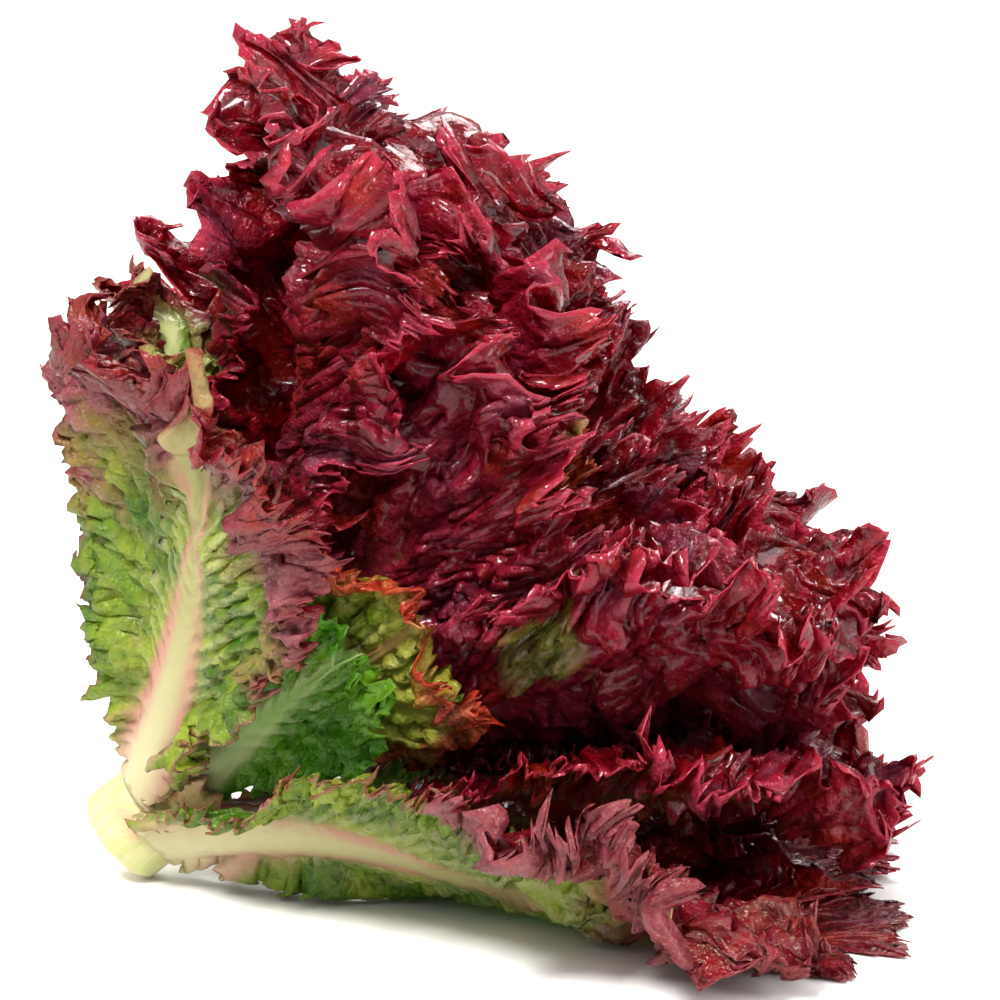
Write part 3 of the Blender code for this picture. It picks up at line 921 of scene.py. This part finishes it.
RED_LEAF = LeafFinish(
    # deep glossy burgundy above, mauve below, crimson where light passes
    name="red_lettuce_leaf",
    blade="#4A6E1C",
    blade_light="#7F8E38",
    face="#380005",
    face_light="#7E0414",
    back="#50020C",
    back_light="#8A1630",
    back_far="#5C0412",
    painted_rim_glow="#C83450",
    rib="#D3D8A2",
    rib_far="#8A2030",
    flush="#B4666A",
    vein_red="#8E1C30",
    glow_green="#8FBF2E",
    glow_red="#D80808",
    shine="#FFA0B0",
    coat=0.5,
)
OUTER_LEAF = LeafFinish(
    # a green blade with pale veins that turns mauve and then red at its frills
    name="outer_lettuce_leaf",
    blade="#3C6408",
    blade_light="#8C9A2C",
    face="#4A0510",
    face_light="#8A1624",
    back="#6E2230",
    back_light="#A45C66",
    back_far="#6C0C1C",
    painted_rim_glow="#8A2E3C",
    rib="#D0C79A",
    rib_far="#A8A468",
    flush="#C4837A",
    vein_red="#A87672",
    glow_green="#9CCB3A",
    glow_red="#B4281E",
)
PALE_LEAF = LeafFinish(
    # a bleached yellow-green leaf with small red-brown frills
    name="pale_lettuce_leaf",
    blade="#6F9A2C",
    blade_light="#B9C468",
    face="#5A0A12",
    face_light="#8E2226",
    back="#7A2226",
    back_light="#A85A4C",
    back_far="#7A1A22",
    painted_rim_glow="#8E3A32",
    rib="#E6E6BE",
    rib_far="#C9D08E",
    flush="#D0B08A",
    vein_red="#C09A74",
    glow_green="#BEDB50",
    glow_red="#B4482A",
)
GREEN_LEAF = LeafFinish(
    # the shaded inner green, deep and even, with pale fanning veins
    name="green_lettuce_leaf",
    blade="#38780C",
    blade_light="#68981A",
    face="#4A8412",
    face_light="#86A82C",
    back="#5C8A18",
    back_light="#A6B432",
    back_far="#6A9420",
    painted_rim_glow="#8A5A34",
    rib="#C9D6A0",
    rib_far="#8FB45A",
    flush="#BBC68A",
    vein_red="#A9C070",
    glow_green="#7FC41E",
    glow_red="#A8C832",
)
HEART_LEAF = LeafFinish(
    # the youngest leaves: yellow-green with orange-red frills
    name="heart_lettuce_leaf",
    blade="#7E9A28",
    blade_light="#B8B848",
    face="#7A1A10",
    face_light="#B04A1C",
    back="#8A2A1E",
    back_light="#C27A4A",
    back_far="#9A3A1E",
    painted_rim_glow="#C23A2A",
    rib="#DDDDA0",
    rib_far="#C0A860",
    flush="#C98A60",
    vein_red="#B8603C",
    glow_green="#C8D83A",
    glow_red="#E0481A",
)


@dataclass(frozen=True)
class StemFinish:
    """Cut lettuce stem: cream flesh with pale strands along it, browned a little where it was cut or torn."""

    name: str = "cut_lettuce_stem"
    flesh: str = "#CFC894"
    strand: str = "#B4BE78"
    bruise: str = "#C79A78"
    cut: str = "#C9A87C"

    def material(self) -> bpy.types.Material:
        """Builds the finish, which reads the piece's own marks of where it was cut and torn."""
        made = bpy.data.materials.new(self.name)
        made.use_nodes = True
        tree = made.node_tree
        tree.nodes.clear()
        place = add_node(tree, "ShaderNodeTexCoord").outputs["Object"]
        patches = noise(tree, place, 9.0 * MM, 4.0)
        fine = noise(tree, place, 1.2 * MM, 5.0)
        strands = noise(tree, attribute(tree, "strand", "Vector"), 1.0, 3.0)
        flesh = mixed(tree, ranged(tree, strands, 0.40, 0.66), self.flesh, self.strand)
        bruised = times(tree, attribute(tree, "torn"), 1.0, ranged(tree, patches, 0.36, 0.60))
        flesh = mixed(tree, bruised, flesh, self.bruise)
        browned = times(tree, attribute(tree, "cut"), 0.75, ranged(tree, fine, 0.32, 0.66))
        flesh = mixed(tree, browned, flesh, self.cut)
        height = summed(tree, strands, swung(tree, fine, 0.35))
        bump = raised(tree, height, 0.5, 0.4 * MM)
        skin = add_node(
            tree,
            "ShaderNodeBsdfPrincipled",
            {
                "IOR": 1.42,
                "Subsurface Weight": 0.25,
                "Subsurface Scale": 2.0 * MM,
                "Coat Weight": 0.15,
                "Coat Roughness": 0.25,
            },
            {"Base Color": flesh, "Roughness": ranged(tree, fine, 0.0, 1.0, 0.30, 0.55), "Normal": bump},
        )
        add_node(tree, "ShaderNodeOutputMaterial", {}, {"Surface": skin.outputs[0]})
        return made


TORN_BASE = StemFinish(
    # yellower flesh than the stem's, with a brown dried end
    name="torn_lettuce_leaf_base",
    flesh="#D9CE8C",
    strand="#B9B25A",
    bruise="#C98E78",
    cut="#8A5A34",
)


def new_piece(mesh: bmesh.types.BMesh, name: str) -> bpy.types.Object:
    """Turns a finished mesh into an object in the scene, with smooth faces."""
    for face in mesh.faces:
        face.smooth = True
    data = bpy.data.meshes.new(name)
    mesh.to_mesh(data)
    mesh.free()
    made = bpy.data.objects.new(name, data)
    bpy.context.scene.collection.objects.link(made)
    return made


@dataclass
class Stem:
    """The tapered stem with its cut end."""

    head: Head
    around: int = 128
    rings: int = 96
    tip: float = 0.0545
    face_share: float = 0.72  # share of the rings that are on the side, the others are on the cut face
    cut_edge: float = 0.0012
    cut_ring: float = 0.0004  # height of the rings that the knife left
    dome: float = 0.0025
    point_length: float = 0.004
    ridge_depth: float = 0.035
    gap: float = 0.0003
    scar_azimuth: float = 1.35  # where an outer leaf was pulled off, in radians
    scar_along: float = 0.0085
    scar_width: float = 0.55
    scar_height: float = 0.0035

    def profile(self, share: float) -> tuple[float, float]:
        """Works out a ring of the stem.

        Args:
            share: Of the way from the tip over the cut edge to the middle of the cut face.

        Returns:
            The distance from the cut end, and the radius.
        """
        radius = self.head.stem_radius - self.gap
        if share >= self.face_share:
            inwards = (share - self.face_share) / (1.0 - self.face_share)
            along = self.cut_ring * math.sin(9.0 * inwards) ** 2 - self.dome * inwards * (2.0 - inwards)
            return along, (radius - self.cut_edge) * (1.0 - inwards)
        along = between(self.tip, self.cut_edge, share / self.face_share)
        root = (along - self.head.first_root) / (self.head.last_root - self.head.first_root)
        taper = between(self.head.stem_radius, self.head.heart_radius, min(max(root, 0.0), 1.0)) - self.gap
        point = math.sqrt(min(1.0, (self.tip - along) / self.point_length))
        return along, taper * point

    def build(self) -> bpy.types.Object:
        """Builds the stem as one closed body from a ball whose rings follow the profile."""
        mesh = bmesh.new()
        bmesh.ops.create_uvsphere(mesh, u_segments=self.around, v_segments=self.rings, radius=1.0)
        axis, up, front = self.head.directions()
        marks = {name: mesh.verts.layers.float.new(name) for name in ("torn", "cut")}
        strand = mesh.verts.layers.float_vector.new("strand")
        for corner in mesh.verts:
            azimuth = math.atan2(corner.co.y, corner.co.x)
            along, radius = self.profile(math.acos(max(-1.0, min(1.0, corner.co.z))) / math.pi)
            free = 1.0 - smooth_step(0.008, 0.0115, along)
            ridge = 0.45 * math.sin(5.0 * azimuth + 0.6) + 0.35 * math.sin(8.0 * azimuth + 2.0 + 90.0 * along)
            radius *= 1.0 + self.ridge_depth * free * ridge
            out = math.cos(azimuth) * up + math.sin(azimuth) * front
            spot = np.array(self.head.cut_end) + along * axis + radius * out
            corner.co = Vector((spot[0], spot[1], max(spot[2], 0.0)))
            browned = 0.35 + 0.65 * smooth_step(0.005, 0.011, radius)
            corner[marks["cut"]] = float(smooth_step(0.0016, 0.0004, along) * browned)
            turned = (azimuth - self.scar_azimuth) / self.scar_width
            raised_by = (along - self.scar_along) / self.scar_height
            scar = math.exp(-(turned**2) - raised_by**2)
            corner[marks["torn"]] = min(1.0, 1.3 * scar)
            corner[strand] = Vector((6.0 * math.cos(azimuth), 6.0 * math.sin(azimuth), along / 0.009))
        bmesh.ops.recalc_face_normals(mesh, faces=mesh.faces)
        return new_piece(mesh, "stem_dressed")


@dataclass
class TornBase:
    """What is left on the stem of a leaf that was pulled off: a thick short stalk with a ragged end."""

    leaf: Leaf
    length: float = 0.017
    across: int = 64
    steps: int = 40
    thinnest: float = 0.0006
    gap: float = 0.0003  # from the stem's skin
    seed: int = 7

    def build(self) -> bpy.types.Object:
        """Builds the base as a closed curved slab."""
        leaf, head = self.leaf, self.leaf.head
        mesh = bmesh.new()
        bmesh.ops.create_grid(mesh, x_segments=self.across, y_segments=self.steps, size=1.0)
        names = ("torn", "cut", "thick")
        marks = {name: mesh.verts.layers.float.new(name) for name in names}
        strand = mesh.verts.layers.float_vector.new("strand")
        draw = np.random.default_rng(self.seed)
        frayed = moving_mean(draw.uniform(-1.0, 1.0, self.across + 1), 3)
        for corner in mesh.verts:
            side, up = corner.co.x, (corner.co.y + 1.0) / 2.0
            fray = 0.10 * (1.0 + frayed[round((side + 1.0) / 2.0 * self.across)])
            ragged = 1.0 - 0.25 * math.cos(7.0 * side) ** 2 - fray
            height = up * self.length * (1.0 - smooth_step(0.5, 1.0, up) * (1.0 - ragged))
            angle = leaf.petiole / float(leaf.out(0.0)) * side
            bulge = (1.0 - side * side) * (0.25 + 0.75 * float(smooth_step(0.0, 0.3, up)))
            marks_here = {
                "torn": 0.35 + 0.65 * up,
                "cut": float(smooth_step(0.86, 1.0, up)),
                "thick": between(self.thinnest, leaf.rib - self.gap, bulge),
            }
            for name in names:
                corner[marks[name]] = float(marks_here[name])
            corner[strand] = Vector((9.0 * side, 3.0, height / 0.010))
            place = (np.array([float(leaf.place)]), np.array([leaf.azimuth + angle]), np.array([height]))
            corner.co = head.point(*place)[0]
        LeafMesh(leaf, "torn_base_dressed").face_outwards(mesh)
        return LeafMesh(leaf, "torn_base_dressed").thicken(mesh)


@dataclass
class Lettuce:
    """The whole head: which leaves it has and what stands for which node."""

    head: Head
    reaches: tuple[tuple[float, ...], ...] = (
        (0.198, 0.172, 0.158, 0.198, 0.142, 0.150),
        (0.176, 0.112, 0.202, 0.208, 0.124, 0.206),
        (0.210, 0.204, 0.192, 0.184, 0.206, 0.208),
        (0.152, 0.172, 0.196, 0.180, 0.160, 0.140),
    )
    torn_place: int = 5
    green: tuple[int, ...] = (7,)
    hearts: tuple[int, ...] = (18, 22, 23)
    habits: dict[int, Habit] = field(
        default_factory=lambda: {
            0: Habit(sweep=-36, stalk=1.3, tone=Tone.OUTER),
            2: Habit(aside=-26, sweep=8, width=0.8, stalk=1.2, redder=0.10, tone=Tone.OUTER),
            4: Habit(tone=Tone.PALE),
            5: Habit(aside=-22),
            7: Habit(aside=46, width=0.75, tone=Tone.GREEN),
            10: Habit(tone=Tone.HEART),
            18: Habit(tone=Tone.HEART),
            22: Habit(tone=Tone.HEART),
            23: Habit(tone=Tone.HEART),
        }
    )

    def leaf(self, place: int) -> Leaf:
        """Plans the leaf of one place."""
        return Leaf(self.head, place, self.reaches[place // 6][place % 6], self.habits.get(place, Habit()))

    def leaves(self) -> list[Leaf]:
        """Plans every leaf, each knowing the others."""
        leaves = [self.leaf(place) for place in range(self.head.places) if place != self.torn_place]
        for leaf in leaves:
            leaf.others = [other for other in leaves if other is not leaf]
        return leaves

    def finishes(self) -> dict[Tone, bpy.types.Material]:
        """The finish of each colouring."""
        kinds = {
            Tone.OUTER: OUTER_LEAF,
            Tone.PALE: PALE_LEAF,
            Tone.GREEN: GREEN_LEAF,
            Tone.RED: RED_LEAF,
            Tone.HEART: HEART_LEAF,
        }
        return {tone: kind.material() for tone, kind in kinds.items()}

    def build(self) -> None:
        """Builds the stem, the torn base and the leaves, and gives each its node."""
        flesh = StemFinish().material()
        stem = Stem(self.head).build()
        stem.data.materials.append(flesh)
        self.stand_for(stem, "stem", "stem_flesh")
        torn = TornBase(self.leaf(self.torn_place)).build()
        torn.data.materials.append(TORN_BASE.material())
        self.stand_for(torn, "torn_base", "torn_base")
        finishes = self.finishes()
        faces = 0
        for number, leaf in enumerate(self.leaves(), start=1):
            made = LeafMesh(leaf, f"leaf_{number:02d}_dressed").build()
            made.data.materials.append(finishes[leaf.habit.tone])
            self.stand_for(made, f"leaf_{number:02d}", self.slot(leaf.place))
            faces += len(made.data.polygons)
        LOG.info("%d faces in all leaves", faces)

    def slot(self, place: int) -> str:
        """The colour slot of the leaf at a place."""
        if place in self.green:
            return "green_leaf"
        return "heart_leaf" if place in self.hearts else "red_leaf"

    @staticmethod
    def stand_for(piece: bpy.types.Object, node: str, slot: str) -> None:
        """The piece moves with the head and is shown for its node."""
        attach(piece, "root")
        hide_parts(node)
        LOG.info("%s: %d faces", piece.name, len(piece.data.polygons))


@dataclass
class Studio:
    """A pale floor, soft lamps and the camera at the photograph's angle."""

    elevation: float = math.radians(11)
    distance: float = 1.2
    frame_width: float = 0.240  # what the picture shows at that distance
    floor_size: float = 12.0
    sky_strength: float = 0.38
    look_at: Point = (-0.0044, -0.0093, 0.0989)

    def build(self) -> None:
        """Builds the floor, the lamps and the camera."""
        self.floor()
        self.lamp("soft_key", (-0.5, -0.9, 1.3), 0.4, 37.0)
        self.lamp("soft_fill", (1.1, -0.8, 0.6), 0.6, 12.0)
        self.lamp("soft_back", (0.3, 0.9, 1.1), 0.7, 18.0)
        sides = {"back": (0.0, 1.0), "left": (-1.0, 0.0), "right": (1.0, 0.0), "front": (0.0, -1.0)}
        for name, (x, y) in sides.items():
            self.lamp(f"floor_{name}", (4.0 * x, 4.0 * y, 3.0), 4.0, 150.0, (5.0 * x, 5.0 * y, 0.0))
        self.sky()
        self.camera()

    def floor(self) -> None:
        """A plain pale floor."""
        mesh = bmesh.new()
        bmesh.ops.create_grid(mesh, x_segments=1, y_segments=1, size=self.floor_size)
        data = bpy.data.meshes.new("floor")
        mesh.to_mesh(data)
        mesh.free()
        floor = bpy.data.objects.new("floor", data)
        bpy.context.scene.collection.objects.link(floor)
        paint = bpy.data.materials.new("pale_floor")
        paint.use_nodes = True
        paint.node_tree.nodes["Principled BSDF"].inputs["Base Color"].default_value = srgb("#F4F3F0")
        paint.node_tree.nodes["Principled BSDF"].inputs["Roughness"].default_value = 0.9
        data.materials.append(paint)

    def lamp(
        self, name: str, spot: Point, size: float, power: float, target: Point | None = None
    ) -> None:
        """A square lamp that looks at the head, or at a target of its own."""
        light = bpy.data.lights.new(name, "AREA")
        light.size = size
        light.energy = power
        made = bpy.data.objects.new(name, light)
        made.location = spot
        towards = Vector(target or self.look_at) - Vector(spot)
        made.rotation_euler = towards.to_track_quat("-Z", "Y").to_euler()
        bpy.context.scene.collection.objects.link(made)

    def sky(self) -> None:
        """An even pale light from all sides."""
        world = bpy.data.worlds.new("studio")
        world.use_nodes = True
        back = world.node_tree.nodes["Background"]
        back.inputs["Color"].default_value = (1.0, 1.0, 1.0, 1.0)
        back.inputs["Strength"].default_value = self.sky_strength
        bpy.context.scene.world = world

    def camera(self) -> None:
        """The camera, low in front of the head."""
        lens = bpy.data.cameras.new("camera")
        lens.angle = 2.0 * math.atan(0.5 * self.frame_width / self.distance)
        lens.sensor_fit = "AUTO"
        made = bpy.data.objects.new("camera", lens)
        back = Vector((0.0, -math.cos(self.elevation), math.sin(self.elevation)))
        made.location = Vector(self.look_at) + back * self.distance
        made.rotation_euler = (-back).to_track_quat("-Z", "Y").to_euler()
        bpy.context.scene.collection.objects.link(made)
        bpy.context.scene.camera = made
        bpy.context.scene.view_settings.view_transform = "Standard"


def main() -> None:
    """Builds the head and the studio."""
    logging.basicConfig(level=logging.INFO)
    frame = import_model()
    LOG.info("%d nodes in the frame", len(frame["nodes"]))
    Lettuce(Head()).build()
    Studio().build()


if __name__ == "__main__":
    main()
